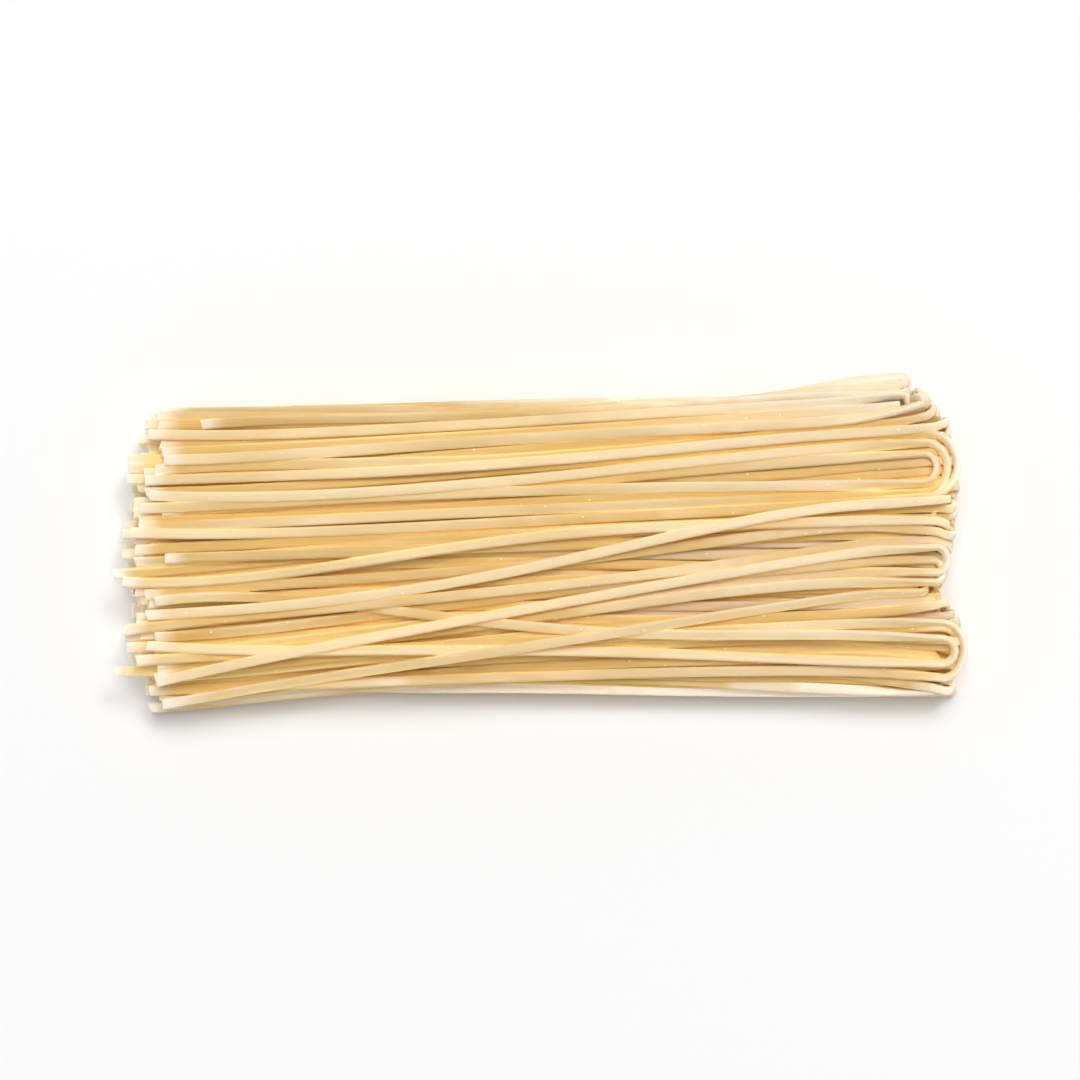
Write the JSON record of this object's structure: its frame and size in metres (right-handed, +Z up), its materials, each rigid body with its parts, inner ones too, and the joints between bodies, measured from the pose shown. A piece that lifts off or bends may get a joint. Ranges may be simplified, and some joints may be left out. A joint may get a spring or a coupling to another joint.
{
  "type": "bundle of dry linguine",
  "caption": "Loose bundle of dry linguine lying flat: long flattened pasta strands side by side, ragged cut ends at one end, U-shaped drying hooks at the other.",
  "frame": {"origin": "under the middle of the bundle's bounding box, on the surface it lies on", "axes": "+X along the strands towards the U-shaped hooks, +Y across the bundle towards the back (the picture's top), +Z up"},
  "size_m": [0.255, 0.1022, 0.0241],
  "materials": {
    "dry_pasta": "matt, slightly translucent dried durum wheat dough, cream to straw yellow"
  },
  "bodies": {
    "root": {"linguine_bundle": "dry_pasta"}
  },
  "joints": []
}
